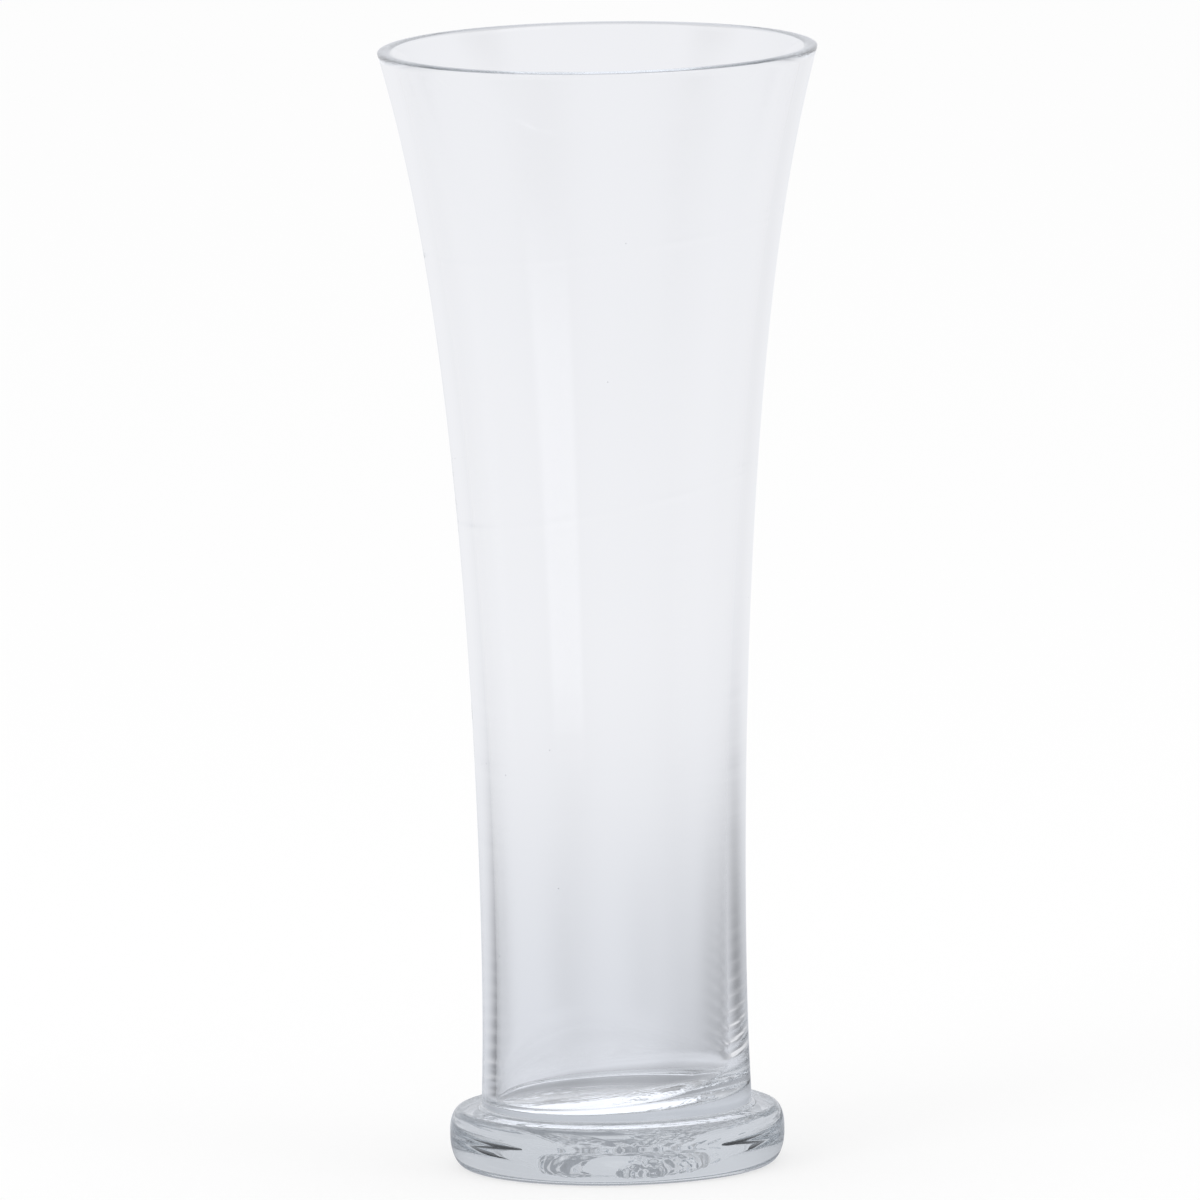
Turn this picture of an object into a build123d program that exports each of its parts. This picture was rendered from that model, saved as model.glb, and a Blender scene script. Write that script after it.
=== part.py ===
from build123d import *
import os

# A tall trumpet vase in clear glass, made of two pieces fused hot:
# a blown body that opens in a trumpet flare, and a solid disc foot under it.
# Millimetres, +Z up. The origin is the centre of the foot's rest face.

# The whole vase
height = 300.0  # rest face to rim

# Outer line of the blown body
rim_radius = 58.85  # where the flare meets the rim plane, before the edge is softened
waist_radius = 35.34  # narrowest place
waist_height = 51.5
heel_radius = 36.1  # where the body stands on the foot
even_flare_share = 0.742  # share of the flare that opens evenly, the rest turns out close to the lip
even_flare_power = 2
lip_flare_power = 6
heel_swell_power = 2

# Glass of the blown body
rim_wall = 3.6
waist_wall = 4.5
floor_glass = 3.2  # between the foot and the inside floor
floor_corner_radius = 7.0  # inside corner between floor and wall
rim_softening = 0.9  # width of the fire-polished edges of the cut rim
collar_height = 1.1  # ring of glass that filled the angle when the hot body met the foot
collar_reach = 1.1

# Disc foot
foot_radius = 44.65
foot_thickness = 15.5
crown_height = 8.6  # height of the widest place on the foot's crowned side
base_edge_height = 1.6  # softened edge round the rest face
base_edge_width = 2.4
base_edge_inset = 1.6  # how far inside the widest place the softened base edge ends
top_edge_height = 1.9  # softened edge round the upper face
top_edge_width = 2.0
top_edge_inset = 0.9

# Places of the points that the body's smooth lines pass through, as shares of each line's height
line_points = 8
point_shares = [i / (line_points - 1) for i in range(line_points)]


def outer_radius(z):
    """Outer radius of the body at a height above the rest face."""
    if z < waist_height:
        down_share = (waist_height - z) / (waist_height - foot_thickness)
        return waist_radius + (heel_radius - waist_radius) * down_share**heel_swell_power
    up_share = (z - waist_height) / (height - waist_height)
    even = even_flare_share * up_share**even_flare_power
    lip = (1 - even_flare_share) * up_share**lip_flare_power
    return waist_radius + (rim_radius - waist_radius) * (even + lip)


def inner_radius(z):
    """Inner radius, inside a wall that thins steadily from the waist to the rim."""
    up_share = max(0, (z - waist_height) / (height - waist_height))
    return outer_radius(z) - waist_wall - (rim_wall - waist_wall) * up_share


def flared_line(radius_at, low, high):
    """Smooth line of radius against height, from the height low to the height high."""
    heights = [low + share * (high - low) for share in point_shares]
    return Spline(*[(radius_at(z), z) for z in heights])


def turned(outline):
    """Solid of revolution about Z inside a closed outline of radius and height."""
    return revolve(Plane.XZ * make_face(outline), Axis.Z)


def blown_body():
    """Flared glass body with a thick floor, a softened rim and a collar where it meets the foot."""
    collar_top = foot_thickness + collar_height
    softening = min(rim_softening, rim_wall / 3)
    rim_edge = height - softening
    floor = foot_thickness + floor_glass
    corner_top = floor + floor_corner_radius

    outer = flared_line(outer_radius, collar_top, rim_edge)
    inner = flared_line(inner_radius, corner_top, rim_edge)
    rim = Polyline(
        outer @ 1,
        (outer_radius(height) - softening, height),
        (inner_radius(height) + softening, height),
        inner @ 1,
    )
    corner_centre = (inner_radius(corner_top) - floor_corner_radius, corner_top)
    corner = CenterArc(corner_centre, floor_corner_radius, start_angle=270, arc_size=90)
    base = Polyline(
        corner @ 0,
        (0, floor),
        (0, foot_thickness),
        (heel_radius + collar_reach, foot_thickness),
        outer @ 0,
    )
    return turned(Curve() + [outer, rim, inner, corner, base])


def foot_disc():
    """Solid disc with a crowned side, softened edges and a flat rest face."""
    base_edge = (foot_radius - base_edge_inset, base_edge_height)
    top_edge = (foot_radius - top_edge_inset, foot_thickness - top_edge_height)
    crown = ThreePointArc(base_edge, (foot_radius, crown_height), top_edge)
    ends = Polyline(
        top_edge,
        (foot_radius - top_edge_inset - top_edge_width, foot_thickness),
        (0, foot_thickness),
        (0, 0),
        (foot_radius - base_edge_inset - base_edge_width, 0),
        base_edge,
    )
    return turned(Curve() + [crown, ends])


os.makedirs("parts", exist_ok=True)
export_step(blown_body(), "parts/blown_body.step")
export_step(foot_disc(), "parts/foot_disc.step")
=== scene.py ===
import math
from types import SimpleNamespace

import bmesh
import bpy
from bpy.props import FloatProperty, FloatVectorProperty, IntProperty, PointerProperty
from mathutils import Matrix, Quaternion, Vector


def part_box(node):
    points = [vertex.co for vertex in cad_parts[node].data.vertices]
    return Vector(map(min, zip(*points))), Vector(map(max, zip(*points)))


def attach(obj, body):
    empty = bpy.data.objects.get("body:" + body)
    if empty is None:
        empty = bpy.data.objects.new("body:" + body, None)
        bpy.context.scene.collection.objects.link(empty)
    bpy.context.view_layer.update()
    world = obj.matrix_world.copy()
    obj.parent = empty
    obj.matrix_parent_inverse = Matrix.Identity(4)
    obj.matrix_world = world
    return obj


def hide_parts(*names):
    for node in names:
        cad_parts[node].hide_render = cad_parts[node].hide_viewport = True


bl_info = {
    "name": "Trumpet Vase",
    "version": (1, 0, 0),
    "blender": (4, 5, 0),
    "location": "3D View > Sidebar > Vase",
    "description": "Makes a blown clear-glass trumpet vase on its solid disc foot, and its stage",
    "category": "Object",
}

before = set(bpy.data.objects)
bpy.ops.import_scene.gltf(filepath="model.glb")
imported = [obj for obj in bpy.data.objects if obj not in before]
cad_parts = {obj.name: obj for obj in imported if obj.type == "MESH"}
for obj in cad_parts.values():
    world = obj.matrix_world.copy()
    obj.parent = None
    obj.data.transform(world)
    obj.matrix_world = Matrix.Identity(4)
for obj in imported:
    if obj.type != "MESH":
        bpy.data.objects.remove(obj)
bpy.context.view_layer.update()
body_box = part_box("blown_body")
foot_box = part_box("foot_disc")

MM = 0.001
FULL_TURN = 2 * math.pi
HALF_TURN = math.pi
QUARTER_TURN = math.pi / 2
WHITE = (1.0, 1.0, 1.0)
# Keeps a division from being by zero
TINY = 1e-6

# Refractive index of glass, and of the faces at which two pieces are fused into one
GLASS_BEND = 1.5
FUSED_BEND = 1.0

# Numbers that the faces carry for the glass material
BEND_NAME = "light_bend"
GLOSS_NAME = "rim_gloss"

# Half the hairline that is left between the fused faces, so that they never lie in one plane
FUSED_GAP = 0.01 * MM

# How often light may turn inside the glass before it is given up
GLASS_BOUNCES = 200

# Rings of each stretch of the glass, along its outline
WALL_RINGS = 150
EDGE_RINGS = 14
FLOOR_RINGS = 44
WRINKLE_RINGS = 90
FLAT_RINGS = 6
# How much closer the inside wall's rings lie at its foot, where its finest forms are
RING_CROWDING = 0.6

# Powers of the body's outer line: swell of the heel, even flare, and turn-out at the lip
HEEL_POWER = 2
EVEN_POWER = 2
LIP_POWER = 6

# Slanting cords: how far they wander, how narrow their crests are, how soon they fade upwards,
# the ramp by which they are kept to one side, and their share on the other side
CORD_WANDER = 4
CORD_CREST_POWER = 3
CORD_FADE_POWER = 2
CORD_SIDE = (7, 5.7)
OTHER_SIDE_SHARE = 0.35

# Rings on the inside floor: how far they wander, the ramps by which they start at the corner and
# end at the axis, and the ramp of the rippled middle that takes their place
RING_WANDER = 6
RING_START = 5
RING_END = 4
FLOOR_MIDDLE = (3, 0.9)

# Ramp by which the field of patches is shared into wrinkled and smooth ones
WRINKLE_PATCH = (9, -0.8)

# Air bubbles: range of their heights, as shares of the vase's height, and of their sizes
BUBBLE_HEIGHTS = (0.12, 0.9)
BUBBLE_SIZES = (0.55, 1.0)

# Drawn lines in the surface: how many there are to the metre along X, Y and Z
STRIAE_PER_METRE = (6.0, 6.0, 130.0)

# Height on the axis, and rise towards +X as height over distance, of the faint tool marks
CREASES = ((250.0 * MM, 0.121), (179.9 * MM, 0.198))

# Where the studio's tones start and end, as sines of the angle above level
HORIZON = (0.0, 0.08)
OVERHEAD = (0.3, 0.8)
WINDOW_TOP = (0.05, 0.2)
# Where the dark walls start and end, by how far a direction points aside and to the back
BESIDE = (0.55, 0.9)
IN_FRONT = (0.15, -0.15)
# Where the floor's painted shade near the vase and its painted window glow start and end, in metres
# from the vase's axis
PAINTED_NEAR_SHADE_SPAN = (0.0, 1.0)
# Painted light: a window glows on the floor for glass rays from here outwards
PAINTED_WINDOW_GLOW_SPAN = (0.8, 2.0)
# The same in foot radii from the axis, for the painted dark sectors, the painted shade round the
# foot and the painted light under it
PAINTED_SECTORS_BEGIN = (2.0, 4.5)
PAINTED_ROUND_SHADE_SPAN = (2.2, 1.0)
PAINTED_UNDER_LIGHT_SPAN = (1.0, 0.6)
# Where the floor's painted dark sectors end, as shares of their reach
PAINTED_SECTORS_END = (1.0, 0.3)
# Start and end of any other soft edge, as shares of the edge's own place
SOFT_EDGE = (0.8, 1.2)

# Share of the floor's tone that is its own light, which keeps the vase's shadow faint
FLOOR_GLOW = 0.65

# Place, width and power of each soft lamp
LAMPS = {
    "key": ((-1.6, -1.8, 1.5), 1.2, 12.0),
    "fill": ((2.2, -1.4, 1.2), 1.2, 6.0),
}

# Corners closer than this are one corner
WELD_DISTANCE = 0.002 * MM
# Edges that turn by more than this angle in radians stay crisp
CRISP_ANGLE = 0.6


def length(name, description, default):
    """A size in metres that a user may change."""
    return FloatProperty(
        name=name, description=description, default=default, unit="LENGTH", precision=5
    )


def number(name, description, default):
    """A plain number that a user may change."""
    return FloatProperty(name=name, description=description, default=default, precision=3)


def angle(name, description, default):
    """An angle in radians that a user may change."""
    return FloatProperty(
        name=name, description=description, default=default, unit="ROTATION", subtype="ANGLE"
    )


def count(name, description, default):
    """A whole number that a user may change."""
    return IntProperty(name=name, description=description, default=default, min=0)


def colour(name, description, default):
    """A colour that a user may change."""
    return FloatVectorProperty(
        name=name,
        description=description,
        default=default,
        size=3,
        subtype="COLOR",
        min=0.0,
        max=1.0,
    )


def values_of(group):
    """The numbers and colours of a group of properties."""
    return [p for p in group.bl_rna.properties if p.type in ("FLOAT", "INT")]


class BodySizes(bpy.types.PropertyGroup):
    """Sizes of the blown body, from the foot's top face up to the rim."""

    height: length("Height", "Rest face to rim", body_box[1].z)
    base_height: length(
        "Base height",
        "Rest face to the face that is fused on the foot",
        body_box[0].z,
    )
    rim_radius: length("Rim radius", "Outer radius that the flare reaches at the rim", 58.76 * MM)
    waist_radius: length("Waist radius", "Outer radius at the narrowest place", 35.34 * MM)
    waist_height: length("Waist height", "Height of the narrowest place", 51.5 * MM)
    heel_radius: length("Heel radius", "Outer radius where the body stands on the foot", 36.1 * MM)
    even_share: number("Even flare", "Share of the flare that opens evenly", 0.742)
    rim_wall: length("Rim wall", "Thickness of the glass at the rim", 3.6 * MM)
    waist_wall: length("Waist wall", "Thickness of the glass at the waist", 4.5 * MM)
    lip_height: length("Lip height", "Height of the fire-polished round of the rim", 0.7 * MM)
    rim_gloss: number("Rim gloss", "How much more the polished rim mirrors", 1.0)
    collar_height: length("Collar height", "Height of the ring of glass round the heel", 1.1 * MM)
    collar_reach: length("Collar reach", "Reach of the ring of glass round the heel", 1.1 * MM)
    floor_height: length("Floor height", "Height of the middle of the inside floor", 17.0 * MM)
    floor_slope: number(
        "Floor slope",
        "Rise of the inside floor towards +X, as height over distance",
        0.014,
    )
    corner_radius: length(
        "Corner radius",
        "Mean radius of the corner between floor and wall",
        6.2 * MM,
    )
    corner_change: length(
        "Corner change",
        "How much rounder that corner is at +X and tighter at -X",
        4.2 * MM,
    )
    hollow_offset: length(
        "Hollow offset",
        "How far the hollow lies towards -X low down",
        0.65 * MM,
    )
    swirl_height: length("Swirl height", "Height of the rings on the inside floor", 0.04 * MM)
    swirl_pitch: length("Swirl pitch", "Distance between the rings on the inside floor", 2.4 * MM)
    ripple_height: length(
        "Ripple height",
        "Height of the ripples in the middle of the inside floor",
        0.03 * MM,
    )
    ripple_size: length(
        "Ripple size",
        "Width of the ripples in the middle of the inside floor",
        4.0 * MM,
    )
    cord_height: length(
        "Cord height",
        "Height of the slanting cords low on the inside wall",
        0.24 * MM,
    )
    cord_pitch: length("Cord pitch", "Height in which a cord goes once round", 24.0 * MM)
    cord_reach: length("Cord reach", "How far up the wall the cords reach", 62.0 * MM)
    cord_turns: number("Cords", "Number of cords side by side", 6)
    wave_height: length(
        "Wave height",
        "Depth of the slow waves of blown glass on the inside wall",
        0.03 * MM,
    )
    wave_size: length("Wave size", "Width of the slow waves of blown glass", 28.0 * MM)
    bubble_count: count("Bubbles", "Number of tiny air bubbles in the wall", 9)
    bubble_radius: length("Bubble radius", "Radius of the largest air bubble", 0.25 * MM)
    bubble_seed: count("Bubble seed", "Another number scatters the bubbles differently", 4)
    around: count("Sides", "Number of sides round the body", 256)


class FootSizes(bpy.types.PropertyGroup):
    """Sizes of the solid disc foot."""

    radius: length("Radius", "Radius at the widest place", 44.65 * MM)
    thickness: length("Thickness", "Rest face to top face", foot_box[1].z)
    base_rise: length("Base rise", "Height of the rounding above the rest face", 8.0 * MM)
    base_inset: length("Base inset", "Width of the rounding above the rest face", 4.0 * MM)
    top_drop: length("Top drop", "Height of the rounding below the top face", 5.8 * MM)
    top_inset: length("Top inset", "Width of the rounding below the top face", 2.9 * MM)
    fused_radius: length(
        "Fused radius",
        "Radius of the face on which the body is fused",
        37.2 * MM,
    )
    dome_height: length("Dome height", "Depth of the hollow under the foot", 4.2 * MM)
    wrinkle_height: length(
        "Wrinkle height",
        "Depth of the chill wrinkles under the foot",
        1.3 * MM,
    )
    wrinkle_size: length("Wrinkle size", "Width of the chill wrinkles under the foot", 2.0 * MM)
    patch_size: length(
        "Patch size",
        "Width of the patches in which the chill wrinkles lie",
        24.0 * MM,
    )
    rest_width: length("Rest width", "Width of the smooth ring on which the foot rests", 2.5 * MM)
    around: count("Sides", "Number of sides round the foot", 256)


class GlassFinish(bpy.types.PropertyGroup):
    """Finish of the clear glass."""

    tint: colour("Tint", "Colour that light takes on in thick glass", (0.4, 0.7, 0.9))
    density: number("Density", "How strongly a metre of the body's glass takes up light", 0.15)
    foot_tint: colour(
        "Foot tint",
        "Colour that light takes on in the foot's thick glass",
        (0.35, 0.43, 0.48),
    )
    foot_density: number(
        "Foot density",
        "How strongly a metre of the foot's glass takes up light",
        4.5,
    )
    gloss_bend: number(
        "Gloss bend",
        "Refractive index of the film that makes the rim glossier",
        2.4,
    )
    striae_depth: length(
        "Striae depth",
        "Depth of the faint drawn lines in the surface",
        0.02 * MM,
    )
    crease_depth: length(
        "Crease depth",
        "Depth of the two faint tool marks across the front",
        0.03 * MM,
    )
    crease_width: length("Crease width", "Width of the two faint tool marks", 1.1 * MM)
    striae_lean: angle(
        "Striae lean",
        "How far the faint drawn lines lean from level",
        math.radians(8),
    )


class StageLook(bpy.types.PropertyGroup):
    """Floor, light and camera."""

    floor_radius: length("Floor radius", "Radius of the round floor", 4.0)
    floor_colour: colour("Floor colour", "Colour of the floor", (0.93, 0.93, 0.93))
    far_colour: colour(
        "Far colour",
        "Colour of the far studio as seen through glass",
        (0.875, 0.882, 0.912),
    )
    wall_colour: colour(
        "Wall colour",
        "Colour of the studio's walls as seen through glass",
        (0.78, 0.795, 0.835),
    )
    wall_dark: number("Wall dark", "How much darker the walls are to the left and right", 0.95)
    wall_base: number("Wall base", "How high up the walls turn darker, as a sine", 0.3)
    # Painted shade: for glass rays the floor glows in this darker colour close to the vase
    painted_near_shade: colour(
        "Near colour",
        "Colour of the floor close to the object as seen through glass",
        (0.675, 0.70, 0.755),
    )
    dark_turn: angle(
        "Dark turn",
        "How far the four dark sectors are turned from midway",
        math.radians(12),
    )
    dark_focus: number("Dark focus", "How narrow the four dark sectors are", 2.4)
    # Painted shade: four dark sectors are painted into the floor's glow close to the vase, for
    # glass rays
    painted_sector_reach: length("Dark reach", "How far from the object the floor's dark sectors reach", 0.8)
    painted_sector_shade: number("Side dark", "How dark the four sectors are close to the object", 0.68)
    far_dark: number("Far dark", "How dark the four sectors are far away", 0.06)
    # Painted shade: the floor's glow is darker right round the foot, for glass rays
    painted_round_shade: number("Round dark", "How much darker the floor is right round the foot", 0.42)
    # Painted light: the floor's glow is brighter under the foot, for glass rays
    painted_under_light: number("Under light", "How much brighter the floor is under the foot", 0.8)
    overhead_dark: number("Overhead dark", "How much darker the surroundings are overhead", 0.45)
    window_turn: angle(
        "Window turn",
        "Where the bright window stands, from straight in front",
        math.radians(40),
    )
    window_half: angle("Window half", "Half the window's width", math.radians(15))
    # Brightens the studio's window, and a painted window glow on the floor for glass rays
    window_and_painted_floor_light: number("Window light", "How much brighter the window is", 0.7)
    view_distance: length(
        "View distance",
        "Level distance from the object's axis to the camera",
        7.252,
    )
    view_height: length("View height", "Height of the camera", 1.158)
    view_target_x: length("View target X", "Where the camera looks, beside the axis", -1.99 * MM)
    view_target_z: length("View target Z", "Height at which the camera looks", 151.5 * MM)
    view_roll: angle(
        "View roll",
        "Turn of the camera about its line of sight",
        math.radians(-1.07),
    )
    view_field: length("View field", "Width of the picture at the object", 319.7 * MM)


class Value:
    """A number in a node tree. Arithmetic with such numbers becomes Math nodes."""

    def __init__(self, tree, socket):
        self.tree = tree
        self.socket = socket

    def math(self, operation, *others):
        node = self.tree.nodes.new("ShaderNodeMath")
        node.operation = operation
        for place, item in enumerate((self, *others)):
            feed(self.tree, node.inputs[place], item)
        return Value(self.tree, node.outputs[0])

    def __add__(self, other):
        return self.math("ADD", other)

    def __sub__(self, other):
        return self.math("SUBTRACT", other)

    def __rsub__(self, other):
        return self * -1 + other

    def __mul__(self, other):
        return self.math("MULTIPLY", other)

    def __truediv__(self, other):
        return self.math("DIVIDE", other)

    def __pow__(self, power):
        return self.math("POWER", power)

    def at_least(self, low):
        return self.math("MAXIMUM", low)

    def at_most(self, high):
        return self.math("MINIMUM", high)

    def sine(self):
        return self.math("SINE")

    def cosine(self):
        return self.math("COSINE")

    def ramp(self, gain=1, offset=0):
        """This number times gain, less offset, held between zero and one."""
        return (self * gain - offset).at_least(0).at_most(1)

    __radd__ = __add__
    __rmul__ = __mul__


def feed(tree, socket, item):
    """Gives a node's socket a fixed value, or the number or socket of another node."""
    if isinstance(item, Value):
        tree.links.new(item.socket, socket)
    elif isinstance(item, bpy.types.NodeSocket):
        tree.links.new(item, socket)
    else:
        socket.default_value = item


def node_with(tree, kind, settings=None, **inputs):
    """A new node whose settings and named inputs are filled in."""
    node = tree.nodes.new(kind)
    for name, setting in (settings or {}).items():
        setattr(node, name, setting)
    for name, item in inputs.items():
        feed(tree, node.inputs[name.replace("_", " ")], item)
    return node


def spread_out(tree):
    """Places a tree's nodes in columns, in the order in which they were made."""
    rows = 12
    column_width = 220
    row_height = 200
    for place, node in enumerate(tree.nodes):
        node.location = (place // rows * column_width, -(place % rows) * row_height)


def form_tree(name, sizes):
    """A new geometry tree with one named input for each size, and those inputs as values."""
    tree = bpy.data.node_groups.new(name, "GeometryNodeTree")
    tree.is_modifier = True
    tree.interface.new_socket("Geometry", in_out="INPUT", socket_type="NodeSocketGeometry")
    tree.interface.new_socket("Geometry", in_out="OUTPUT", socket_type="NodeSocketGeometry")
    kinds = {"FLOAT": "NodeSocketFloat", "INT": "NodeSocketInt"}
    named = values_of(sizes)
    for p in named:
        socket = tree.interface.new_socket(p.name, in_out="INPUT", socket_type=kinds[p.type])
        socket.description = p.description
        socket.default_value = getattr(sizes, p.identifier)
    inlet = tree.nodes.new("NodeGroupInput")
    values = {p.identifier: Value(tree, inlet.outputs[p.name]) for p in named}
    return tree, SimpleNamespace(**values)


def band(tree, around, rings, place, bend=GLASS_BEND):
    """A band of glass surface round the axis.

    place takes a turn round the axis and the way along the band, from zero to one. It gives a
    radius and a height, and for a hollow that lies off the axis a shift along X.
    """
    grid = node_with(
        tree,
        "GeometryNodeMeshGrid",
        Size_X=1.0,
        Size_Y=1.0,
        Vertices_X=around + 1,
        Vertices_Y=rings,
    )
    position = tree.nodes.new("GeometryNodeInputPosition")
    split = node_with(tree, "ShaderNodeSeparateXYZ", Vector=position.outputs[0])
    turn = (Value(tree, split.outputs["X"]) + 0.5) * FULL_TURN
    along = Value(tree, split.outputs["Y"]) + 0.5
    radius, height, *shift = place(turn, along)
    there = node_with(
        tree,
        "ShaderNodeCombineXYZ",
        X=sum(shift, radius * turn.cosine()),
        Y=radius * turn.sine(),
        Z=height,
    )
    placed = node_with(
        tree, "GeometryNodeSetPosition", Geometry=grid.outputs["Mesh"], Position=there.outputs[0]
    )
    return marked(tree, placed.outputs[0], BEND_NAME, bend)


def marked(tree, skin, name, value):
    """The same skin with a number stored on each of its faces."""
    node = node_with(
        tree,
        "GeometryNodeStoreNamedAttribute",
        {"data_type": "FLOAT", "domain": "FACE"},
        Geometry=skin,
        Name=name,
        Value=value,
    )
    return node.outputs[0]


def noise(tree, vector, size):
    """A soft random field, about -0.5 to 0.5, with features about as wide as size."""
    texture = node_with(tree, "ShaderNodeTexNoise", Vector=vector, Scale=size**-1)
    return Value(tree, texture.outputs[0]) - 0.5


def ring_point(tree, turn, radius, height):
    """The point of a turned surface at a turn, a radius and a height, for the waves' fields."""
    point = node_with(
        tree, "ShaderNodeCombineXYZ", X=radius * turn.cosine(), Y=radius * turn.sine(), Z=height
    )
    return point.outputs[0]


def closed_form(tree, bands, extra=()):
    """Joins the bands into one closed skin, crisp where it turns sharply, beside extra skins."""
    join = tree.nodes.new("GeometryNodeJoinGeometry")
    for skin in bands:
        tree.links.new(skin, join.inputs[0])
    welded = node_with(
        tree, "GeometryNodeMergeByDistance", Geometry=join.outputs[0], Distance=WELD_DISTANCE
    )
    edge_turn = tree.nodes.new("GeometryNodeInputMeshEdgeAngle")
    sharp = Value(tree, edge_turn.outputs["Unsigned Angle"]).math("GREATER_THAN", CRISP_ANGLE)
    smooth = node_with(
        tree,
        "GeometryNodeSetShadeSmooth",
        {"domain": "FACE"},
        Geometry=welded.outputs[0],
        Shade_Smooth=True,
    )
    crisp = node_with(
        tree,
        "GeometryNodeSetShadeSmooth",
        {"domain": "EDGE"},
        Geometry=smooth.outputs[0],
        Selection=sharp,
        Shade_Smooth=False,
    )
    whole = tree.nodes.new("GeometryNodeJoinGeometry")
    for skin in (crisp.outputs[0], *extra):
        tree.links.new(skin, whole.inputs[0])
    return whole.outputs[0]


def finish_tree(tree, form, material):
    """Ends a tree in Realize Instances and Set Material."""
    real = node_with(tree, "GeometryNodeRealizeInstances", Geometry=form)
    made = node_with(
        tree, "GeometryNodeSetMaterial", Geometry=real.outputs[0], Material=material
    )
    outlet = tree.nodes.new("NodeGroupOutput")
    tree.links.new(made.outputs[0], outlet.inputs[0])
    spread_out(tree)


def way_up(s, z):
    """How far a height lies from the waist to the rim, from zero to one."""
    return ((z - s.waist_height) / (s.height - s.waist_height)).at_least(0)


def outer_radius(s, z):
    """Outer radius of the body at a height."""
    up = way_up(s, z)
    down = ((s.waist_height - z) / (s.waist_height - s.base_height)).at_least(0)
    heel = (s.heel_radius - s.waist_radius) * down**HEEL_POWER
    flare = s.even_share * up**EVEN_POWER + (1 - s.even_share) * up**LIP_POWER
    return s.waist_radius + heel + (s.rim_radius - s.waist_radius) * flare


def wall(s, z):
    """Thickness of the body's wall at a height."""
    return s.waist_wall + (s.rim_wall - s.waist_wall) * way_up(s, z)


def body_tree(sizes, material):
    """The blown body: a flared wall with a round lip, a thick slanting floor and a collar."""
    tree, s = form_tree("Blown body", sizes)
    lip_base = s.height - s.lip_height
    collar_top = s.base_height + s.collar_height
    base_radius = outer_radius(s, collar_top) + s.collar_reach
    floor_reach = outer_radius(s, s.floor_height) - wall(s, s.floor_height)

    def hollow_shift(z):
        up = ((z - s.base_height) / (s.height - s.base_height)).at_most(1)
        return s.hollow_offset * (1 - up) ** 2 * -1

    def corner(turn):
        return s.corner_radius + s.corner_change * turn.cosine()

    def floor_edge(turn):
        return s.floor_height + s.floor_slope * floor_reach * turn.cosine()

    def corner_top(turn):
        return floor_edge(turn) + corner(turn)

    def slow_field(turn, z):
        return noise(tree, ring_point(tree, turn, s.waist_radius, z), s.wave_size)

    def cords(turn, z):
        rise = z - floor_edge(turn)
        fade = (1 - rise / s.cord_reach).at_least(0) ** CORD_FADE_POWER
        start = (rise / s.corner_radius).at_most(1)
        phase = turn * s.cord_turns - (z / s.cord_pitch) * FULL_TURN * s.cord_turns
        bent = phase + slow_field(turn, z) * CORD_WANDER
        ridge = (bent.sine() * 0.5 + 0.5) ** CORD_CREST_POWER
        side = turn.cosine().ramp(*CORD_SIDE)
        other_side = (turn.cosine() * -1).ramp(*CORD_SIDE)
        return ridge * (fade * start) * s.cord_height * (side + other_side * OTHER_SIDE_SHARE)

    def waves(turn, z):
        still = ((s.height - z) / s.lip_height).ramp()
        return slow_field(turn, z) * s.wave_height * still

    def inner_radius(turn, z):
        return outer_radius(s, z) - wall(s, z) + cords(turn, z) + waves(turn, z)

    def underside(turn, along):
        return base_radius * along, s.base_height + FUSED_GAP

    def collar(turn, along):
        swing = along * QUARTER_TURN
        radius = base_radius - s.collar_reach * swing.sine()
        return radius, collar_top + FUSED_GAP - s.collar_height * swing.cosine()

    def outside(turn, along):
        z = collar_top + FUSED_GAP + (lip_base - collar_top - FUSED_GAP) * along
        return outer_radius(s, z), z

    def lip(turn, along):
        swing = along * HALF_TURN
        half = (outer_radius(s, lip_base) - inner_radius(turn, lip_base)) * 0.5
        radius = inner_radius(turn, lip_base) + half + half * swing.cosine()
        return radius, lip_base + s.lip_height * swing.sine(), hollow_shift(lip_base) * along

    def inside(turn, along):
        crowded = along * (1 + RING_CROWDING - along * RING_CROWDING)
        z = lip_base + (corner_top(turn) - lip_base) * crowded
        return inner_radius(turn, z), z, hollow_shift(z)

    def floor_corner(turn, along):
        top = corner_top(turn)
        swing = along * QUARTER_TURN
        radius = inner_radius(turn, top) - corner(turn) * (1 - swing.cosine())
        return radius, top - corner(turn) * swing.sine(), hollow_shift(top)

    def inside_floor(turn, along):
        top = corner_top(turn)
        radius = (inner_radius(turn, top) - corner(turn)) * (1 - along)
        level = s.floor_height + (floor_edge(turn) - s.floor_height) * (1 - along)
        point = ring_point(tree, turn, radius, s.floor_height)
        bend = noise(tree, point, s.wave_size) * RING_WANDER
        still = along.ramp(RING_START) * (1 - along).ramp(RING_END)
        swirl = (radius / s.swirl_pitch * FULL_TURN + bend).sine() * s.swirl_height * still
        ripple = noise(tree, point, s.ripple_size) * s.ripple_height
        middle = along.ramp(*FLOOR_MIDDLE)
        return radius, level + swirl * (1 - middle) + ripple * middle, hollow_shift(top)

    bands = [
        band(tree, s.around, FLAT_RINGS, underside, FUSED_BEND),
        band(tree, s.around, FLAT_RINGS, collar),
        band(tree, s.around, WALL_RINGS, outside),
        marked(tree, band(tree, s.around, EDGE_RINGS, lip), GLOSS_NAME, s.rim_gloss),
        band(tree, s.around, WALL_RINGS, inside),
        band(tree, s.around, EDGE_RINGS, floor_corner),
        band(tree, s.around, FLOOR_RINGS, inside_floor),
    ]
    finish_tree(tree, closed_form(tree, bands, [bubbles(tree, s)]), material)
    return tree


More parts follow.
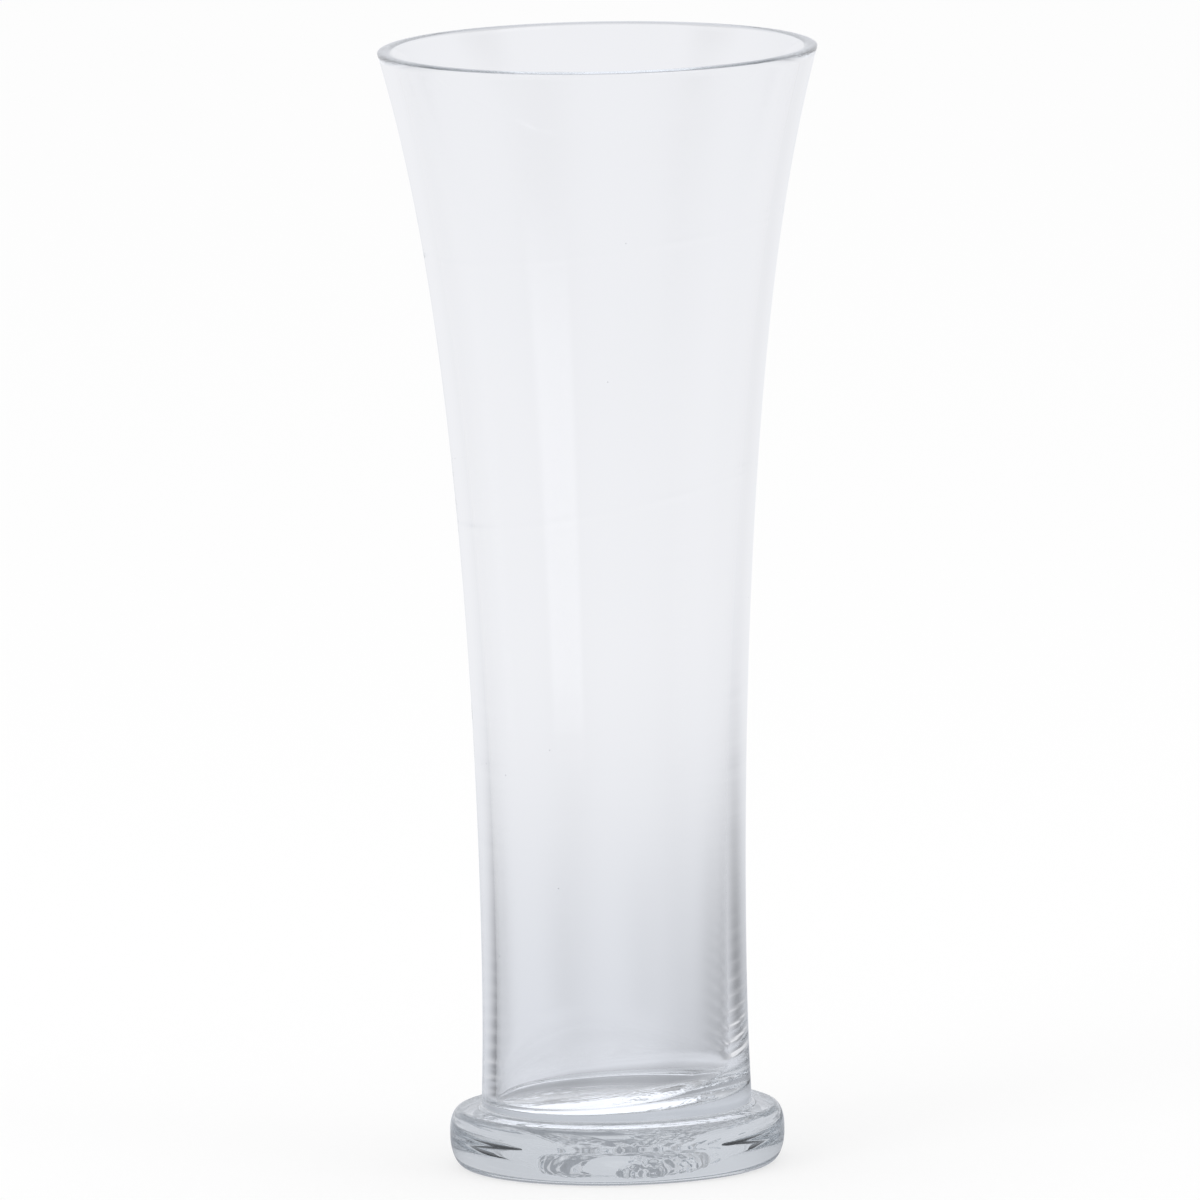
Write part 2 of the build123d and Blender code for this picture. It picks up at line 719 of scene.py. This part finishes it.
def scattered(tree, s, low, high, draw):
    """A random number for each air bubble. draw tells one such number from another."""
    node = node_with(tree, "FunctionNodeRandomValue", {"data_type": "FLOAT"})
    floats = [i for i in node.inputs if i.type == "VALUE" and i.enabled]
    feed(tree, floats[0], low)
    feed(tree, floats[1], high)
    feed(tree, node.inputs["Seed"], s.bubble_seed + draw)
    output = next(o for o in node.outputs if o.type == "VALUE" and o.enabled)
    return Value(tree, output)


def bubbles(tree, s):
    """Tiny air bubbles in the middle of the wall, whose skins face into their air."""
    turn = scattered(tree, s, 0.0, FULL_TURN, 1)
    z = s.height * scattered(tree, s, *BUBBLE_HEIGHTS, 2)
    scale = scattered(tree, s, *BUBBLE_SIZES, 3)
    radius = outer_radius(s, z) - wall(s, z) * 0.5
    points = node_with(
        tree, "GeometryNodePoints", Count=s.bubble_count, Position=ring_point(tree, turn, radius, z)
    )
    bubble = node_with(tree, "GeometryNodeMeshIcoSphere", Radius=s.bubble_radius, Subdivisions=3)
    smooth = node_with(
        tree, "GeometryNodeSetShadeSmooth", Geometry=bubble.outputs["Mesh"], Shade_Smooth=True
    )
    placed = node_with(
        tree,
        "GeometryNodeInstanceOnPoints",
        Points=points.outputs[0],
        Instance=marked(tree, smooth.outputs[0], BEND_NAME, GLASS_BEND),
        Scale=scale,
    )
    real = node_with(tree, "GeometryNodeRealizeInstances", Geometry=placed.outputs[0])
    return node_with(tree, "GeometryNodeFlipFaces", Mesh=real.outputs[0]).outputs[0]


def foot_tree(sizes, material):
    """The solid disc foot: softly rounded edges and chill wrinkles underneath."""
    tree, s = form_tree("Disc foot", sizes)
    rest_radius = s.radius - s.base_inset
    top_radius = s.radius - s.top_inset
    top_height = s.thickness - FUSED_GAP

    def underside(turn, along):
        radius = rest_radius * along
        still = ((rest_radius - radius) / s.rest_width).ramp(1, 1)
        point = ring_point(tree, turn, radius, s.thickness)
        folds = (noise(tree, point, s.wrinkle_size) + 0.5).at_least(0)
        patch = noise(tree, point, s.patch_size).ramp(*WRINKLE_PATCH)
        dome = (1 - (radius / (rest_radius - s.rest_width)) ** 2).at_least(0) * s.dome_height
        return radius, dome + folds * s.wrinkle_height * patch * still

    def base_edge(turn, along):
        swing = along * QUARTER_TURN
        return rest_radius + s.base_inset * swing.sine(), s.base_rise * (1 - swing.cosine())

    def side(turn, along):
        return s.radius, s.base_rise + (top_height - s.top_drop - s.base_rise) * along

    def top_edge(turn, along):
        swing = along * QUARTER_TURN
        height = top_height - s.top_drop * (1 - swing.sine())
        return top_radius + s.top_inset * swing.cosine(), height

    def top(turn, along):
        return top_radius + (s.fused_radius - top_radius) * along, top_height

    def fused_face(turn, along):
        return s.fused_radius * (1 - along), top_height

    bands = [
        band(tree, s.around, WRINKLE_RINGS, underside),
        band(tree, s.around, EDGE_RINGS, base_edge),
        band(tree, s.around, FLAT_RINGS, side),
        band(tree, s.around, EDGE_RINGS, top_edge),
        band(tree, s.around, FLAT_RINGS, top),
        band(tree, s.around, FLAT_RINGS, fused_face, FUSED_BEND),
    ]
    finish_tree(tree, closed_form(tree, bands), material)
    return tree


def glass_material(name, finish, tint, density):
    """Clear glass, bluish grey where it is thick, with faint drawn lines and tool marks."""
    material = bpy.data.materials.new(name)
    material.use_nodes = True
    tree = material.node_tree
    shader = tree.nodes["Principled BSDF"]
    output = tree.nodes["Material Output"]
    feed(tree, shader.inputs["Base Color"], (*WHITE, 1.0))
    feed(tree, shader.inputs["Transmission Weight"], 1.0)
    feed(tree, shader.inputs["Roughness"], 0.0)
    # The value stays on the socket for programs that don't read the faces' own number
    feed(tree, shader.inputs["IOR"], GLASS_BEND)
    bend = node_with(tree, "ShaderNodeAttribute", {"attribute_name": BEND_NAME})
    feed(tree, shader.inputs["IOR"], bend.outputs["Fac"])
    feed(tree, shader.inputs["Coat IOR"], finish.gloss_bend)
    gloss = node_with(tree, "ShaderNodeAttribute", {"attribute_name": GLOSS_NAME})
    feed(tree, shader.inputs["Coat Weight"], gloss.outputs["Fac"])

    where = tree.nodes.new("ShaderNodeTexCoord")
    drawn = node_with(
        tree,
        "ShaderNodeMapping",
        Vector=where.outputs["Object"],
        Rotation=(0.0, -finish.striae_lean, 0.0),
        Scale=STRIAE_PER_METRE,
    )
    lines = node_with(tree, "ShaderNodeTexNoise", Vector=drawn.outputs[0], Scale=1.0)
    split = node_with(tree, "ShaderNodeSeparateXYZ", Vector=where.outputs["Object"])
    x, y, z = (Value(tree, split.outputs[name]) for name in "XYZ")
    relief = Value(tree, lines.outputs[0]) * finish.striae_depth
    in_front = y.math("LESS_THAN", 0.0)
    for height, rise in CREASES:
        away = (z - x * rise - height) / finish.crease_width
        crease = (away * away * -1).math("EXPONENT")
        relief = relief - crease * in_front * finish.crease_depth
    bump = node_with(tree, "ShaderNodeBump", Strength=1.0, Distance=1.0, Height=relief)
    feed(tree, shader.inputs["Normal"], bump.outputs[0])

    inside = node_with(tree, "ShaderNodeVolumeAbsorption", Color=(*tint, 1.0), Density=density)
    feed(tree, output.inputs["Volume"], inside.outputs[0])
    spread_out(tree)
    return material


def make_piece(name, tree, sizes, material, node):
    """Turns a form tree into a plain mesh that stands for a node of the frame."""
    piece = bpy.data.objects.new(name, bpy.data.meshes.new(name))
    bpy.context.scene.collection.objects.link(piece)
    modifier = piece.modifiers.new("Form", "NODES")
    modifier.node_group = tree
    size_by_name = {p.name: getattr(sizes, p.identifier) for p in values_of(sizes)}
    for item in tree.interface.items_tree:
        if item.in_out == "INPUT" and item.name in size_by_name:
            modifier[item.identifier] = size_by_name[item.name]
    formed = piece.evaluated_get(bpy.context.evaluated_depsgraph_get())
    mesh = bpy.data.meshes.new_from_object(formed)
    piece.modifiers.clear()
    piece.data = mesh
    mesh.name = name
    # One material, whatever the joined bands brought along
    mesh.materials.clear()
    mesh.materials.append(material)
    mesh.polygons.foreach_set("material_index", [0] * len(mesh.polygons))
    check_closed(mesh)
    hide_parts(node)
    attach(piece, "root")


def check_closed(mesh):
    """Raises an error if a mesh is empty or its skin is open anywhere."""
    skin = bmesh.new()
    skin.from_mesh(mesh)
    open_edges = sum(not edge.is_manifold for edge in skin.edges)
    corners = len(skin.verts)
    skin.free()
    if not corners or open_edges:
        raise RuntimeError(f"{mesh.name} has {corners} corners and {open_edges} open edges")


class VASE_OT_blown_body(bpy.types.Operator):
    """Make the flared body of blown glass"""

    bl_idname = "vase.blown_body"
    bl_label = "Blown Body"

    def execute(self, context):
        sizes = context.scene.vase_body
        finish = context.scene.vase_glass
        material = glass_material("blown_clear_glass", finish, finish.tint, finish.density)
        make_piece("glass_body", body_tree(sizes, material), sizes, material, "blown_body")
        return {"FINISHED"}


class VASE_OT_disc_foot(bpy.types.Operator):
    """Make the solid glass disc under the body"""

    bl_idname = "vase.disc_foot"
    bl_label = "Disc Foot"

    def execute(self, context):
        sizes = context.scene.vase_foot
        finish = context.scene.vase_glass
        material = glass_material(
            "thick_clear_glass", finish, finish.foot_tint, finish.foot_density
        )
        make_piece("glass_foot", foot_tree(sizes, material), sizes, material, "foot_disc")
        return {"FINISHED"}


def soft_step(tree, value, edges, scale=1.0):
    """Zero up to the first of two edges, one from the second, softly in between."""
    low, high = edges
    node = node_with(
        tree,
        "ShaderNodeMapRange",
        {"interpolation_type": "SMOOTHSTEP"},
        Value=value,
        From_Min=low * scale,
        From_Max=high * scale,
    )
    return Value(tree, node.outputs[0])


def mixed_colour(tree, share, low, high):
    """The colour low where share is zero, high where it is one."""
    node = node_with(tree, "ShaderNodeMix", {"data_type": "RGBA"})
    feed(tree, node.inputs["Factor"], share)
    for name, item in (("A", low), ("B", high)):
        socket = next(i for i in node.inputs if i.name == name and i.type == "RGBA")
        feed(tree, socket, item if isinstance(item, bpy.types.NodeSocket) else (*item, 1.0))
    return next(o for o in node.outputs if o.type == "RGBA")


def from_glass(tree):
    """One for light that glass has bent or mirrored, zero for other light."""
    path = tree.nodes.new("ShaderNodeLightPath")
    glossy = Value(tree, path.outputs["Is Glossy Ray"])
    return glossy.at_least(Value(tree, path.outputs["Is Transmission Ray"]))


def directions(tree, look, vector):
    """The studio's dark sectors and bright window, each zero to one by direction from the axis."""
    split = node_with(tree, "ShaderNodeSeparateXYZ", Vector=vector)
    x, y = (Value(tree, split.outputs[name]) for name in "XY")
    squared = (x * x + y * y).at_least(TINY)
    doubled = look.dark_turn * 2
    sector = (x * y * (2 * math.cos(doubled)) + (y * y - x * x) * math.sin(doubled)) / squared
    toward = (x * math.sin(look.window_turn) - y * math.cos(look.window_turn)) / squared**0.5
    inner_edge, outer_edge = (math.cos(look.window_half * share) for share in SOFT_EDGE)
    window = soft_step(tree, toward, (outer_edge, inner_edge))
    return (sector * sector) ** look.dark_focus, window


def light_world(look):
    """A plain white studio that has paler and darker parts for glass to bend and mirror."""
    world = bpy.data.worlds.new("studio")
    bpy.context.scene.world = world
    world.use_nodes = True
    tree = world.node_tree
    where = tree.nodes.new("ShaderNodeTexCoord")
    split = node_with(tree, "ShaderNodeSeparateXYZ", Vector=where.outputs["Generated"])
    x, y, rise = (Value(tree, split.outputs[name]) for name in "XYZ")
    dark, window = directions(tree, look, where.outputs["Generated"])
    overhead = soft_step(tree, rise, OVERHEAD)
    low = 1 - soft_step(tree, rise, WINDOW_TOP)
    beside = x * x / (x * x + y * y).at_least(TINY)
    walls = soft_step(tree, beside, BESIDE) * soft_step(tree, y, IN_FRONT)
    walls = walls * soft_step(tree, rise, SOFT_EDGE, look.wall_base)
    seen = (1 - dark * look.far_dark) * (1 - walls * look.wall_dark)
    seen = seen * (1 - overhead * look.overhead_dark) + window * low * look.window_and_painted_floor_light
    above = soft_step(tree, rise, HORIZON)
    studio = mixed_colour(tree, above, look.far_colour, look.wall_colour)
    glass = from_glass(tree)
    background = tree.nodes["Background"]
    feed(tree, background.inputs["Color"], mixed_colour(tree, glass, WHITE, studio))
    feed(tree, background.inputs["Strength"], glass * (seen - 1) + 1)
    spread_out(tree)


def floor_material(look):
    """Pale floor that keeps the vase's shadow. For glass rays it glows with painted shade near the
    vase and painted light under the foot and in a window.
    """
    material = bpy.data.materials.new("pale_floor")
    material.use_nodes = True
    tree = material.node_tree
    tree.nodes.remove(tree.nodes["Principled BSDF"])
    where = tree.nodes.new("ShaderNodeTexCoord")
    distance = node_with(tree, "ShaderNodeVectorMath", {"operation": "LENGTH"})
    feed(tree, distance.inputs[0], where.outputs["Object"])
    distance = Value(tree, distance.outputs["Value"])
    # Painted shade and light: the studio's dark sectors and window are painted into the floor's
    # glow
    dark, window = directions(tree, look, where.outputs["Object"])
    foot_radius = foot_box[1].x
    # Painted dark sectors, strongest close to the vase
    near_sector_shade = soft_step(tree, distance, PAINTED_SECTORS_END, look.painted_sector_reach)
    near_sector_shade = near_sector_shade * soft_step(tree, distance, PAINTED_SECTORS_BEGIN, foot_radius)
    # Painted shade right round the foot
    round_shade_mask = soft_step(tree, distance, PAINTED_ROUND_SHADE_SPAN, foot_radius)
    # Painted light under the foot
    under = soft_step(tree, distance, PAINTED_UNDER_LIGHT_SPAN, foot_radius)
    seen = 1 - dark * (near_sector_shade * (look.painted_sector_shade - look.far_dark) + look.far_dark)
    seen = seen * (1 - round_shade_mask * (1 - under) * look.painted_round_shade + under * look.painted_under_light)
    # Painted window glow on the floor, further out
    seen = seen + window * soft_step(tree, distance, PAINTED_WINDOW_GLOW_SPAN) * look.window_and_painted_floor_light
    glass = from_glass(tree)
    # Painted shade: the floor's glow is darker in colour close to the vase
    far = soft_step(tree, distance, PAINTED_NEAR_SHADE_SPAN)
    ground_with_painted_shade = mixed_colour(tree, far, look.painted_near_shade, look.far_colour)
    # The floor glows: even white for camera rays, with the painted shade and light for glass rays
    white_and_painted_glow = node_with(
        tree,
        "ShaderNodeEmission",
        Color=mixed_colour(tree, glass, WHITE, ground_with_painted_shade),
        Strength=glass * (seen - 1) + 1,
    )
    plain = node_with(tree, "ShaderNodeBsdfDiffuse", Color=(*look.floor_colour, 1.0))
    both = tree.nodes.new("ShaderNodeMixShader")
    feed(tree, both.inputs[0], glass * (1 - FLOOR_GLOW) + FLOOR_GLOW)
    feed(tree, both.inputs[1], plain.outputs[0])
    feed(tree, both.inputs[2], white_and_painted_glow.outputs[0])
    feed(tree, tree.nodes["Material Output"].inputs["Surface"], both.outputs[0])
    spread_out(tree)
    return material


def make_floor(look):
    """A round pale floor just under the rest face."""
    drop = 0.1 * MM
    sides = 128
    disc = bmesh.new()
    bmesh.ops.create_circle(disc, cap_ends=True, radius=look.floor_radius, segments=sides)
    bmesh.ops.translate(disc, verts=disc.verts, vec=(0.0, 0.0, -drop))
    mesh = bpy.data.meshes.new("floor")
    disc.to_mesh(mesh)
    disc.free()
    mesh.materials.append(floor_material(look))
    floor = bpy.data.objects.new("floor", mesh)
    bpy.context.scene.collection.objects.link(floor)


def make_lamp(name, place, width, power):
    """A square soft lamp that points at the middle of the vase."""
    lamp = bpy.data.lights.new(name, "AREA")
    lamp.size = width
    lamp.energy = power
    holder = bpy.data.objects.new(name, lamp)
    holder.location = place
    aim = Vector((0.0, 0.0, body_box[1].z / 2)) - Vector(place)
    holder.rotation_euler = aim.to_track_quat("-Z", "Y").to_euler()
    holder.visible_glossy = False
    holder.visible_transmission = False
    bpy.context.scene.collection.objects.link(holder)


def make_camera(look):
    """A distant camera that looks slightly down on the vase, as in the photograph."""
    place = Vector((0.0, -look.view_distance, look.view_height))
    target = Vector((look.view_target_x, 0.0, look.view_target_z))
    aim = target - place
    lens = bpy.data.cameras.new("camera")
    lens.lens = lens.sensor_width * aim.length / look.view_field
    # Far enough for the whole floor
    lens.clip_end = look.view_distance * 4
    camera = bpy.data.objects.new("camera", lens)
    camera.location = place
    roll = Quaternion((0.0, 0.0, 1.0), look.view_roll)
    camera.rotation_euler = (aim.to_track_quat("-Z", "Y") @ roll).to_euler()
    bpy.context.scene.collection.objects.link(camera)
    bpy.context.scene.camera = camera


class VASE_OT_stage(bpy.types.Operator):
    """Set the floor, the light and the camera"""

    bl_idname = "vase.stage"
    bl_label = "Stage"

    def execute(self, context):
        look = context.scene.vase_stage
        context.scene.view_settings.view_transform = "Standard"
        cycles = context.scene.cycles
        cycles.max_bounces = cycles.glossy_bounces = cycles.transmission_bounces = GLASS_BOUNCES
        light_world(look)
        make_floor(look)
        for name, (place, width, power) in LAMPS.items():
            make_lamp(name, place, width, power)
        make_camera(look)
        return {"FINISHED"}


class VASE_PT_sidebar(bpy.types.Panel):
    """Lists the vase's pieces and the sizes that they are made from."""

    bl_idname = "VASE_PT_sidebar"
    bl_label = "Trumpet Vase"
    bl_space_type = "VIEW_3D"
    bl_region_type = "UI"
    bl_category = "Vase"

    def draw(self, context):
        for operator, group in PANEL_ROWS:
            box = self.layout.box()
            if operator:
                box.operator(operator)
            settings = getattr(context.scene, group)
            for p in values_of(settings):
                box.prop(settings, p.identifier)


PANEL_ROWS = (
    ("vase.blown_body", "vase_body"),
    ("vase.disc_foot", "vase_foot"),
    (None, "vase_glass"),
    ("vase.stage", "vase_stage"),
)
GROUPS = {
    "vase_body": BodySizes,
    "vase_foot": FootSizes,
    "vase_glass": GlassFinish,
    "vase_stage": StageLook,
}
CLASSES = (
    *GROUPS.values(),
    VASE_OT_blown_body,
    VASE_OT_disc_foot,
    VASE_OT_stage,
    VASE_PT_sidebar,
)


def register():
    """Adds the vase's classes and their settings to Blender."""
    for cls in CLASSES:
        bpy.utils.register_class(cls)
    for name, group in GROUPS.items():
        setattr(bpy.types.Scene, name, PointerProperty(type=group))


def unregister():
    """Takes the vase's settings and classes out of Blender again."""
    for name in GROUPS:
        delattr(bpy.types.Scene, name)
    for cls in reversed(CLASSES):
        bpy.utils.unregister_class(cls)


def main():
    """Makes the vase and its stage."""
    register()
    bpy.ops.vase.blown_body()
    bpy.ops.vase.disc_foot()
    bpy.ops.vase.stage()


if __name__ == "__main__":
    main()
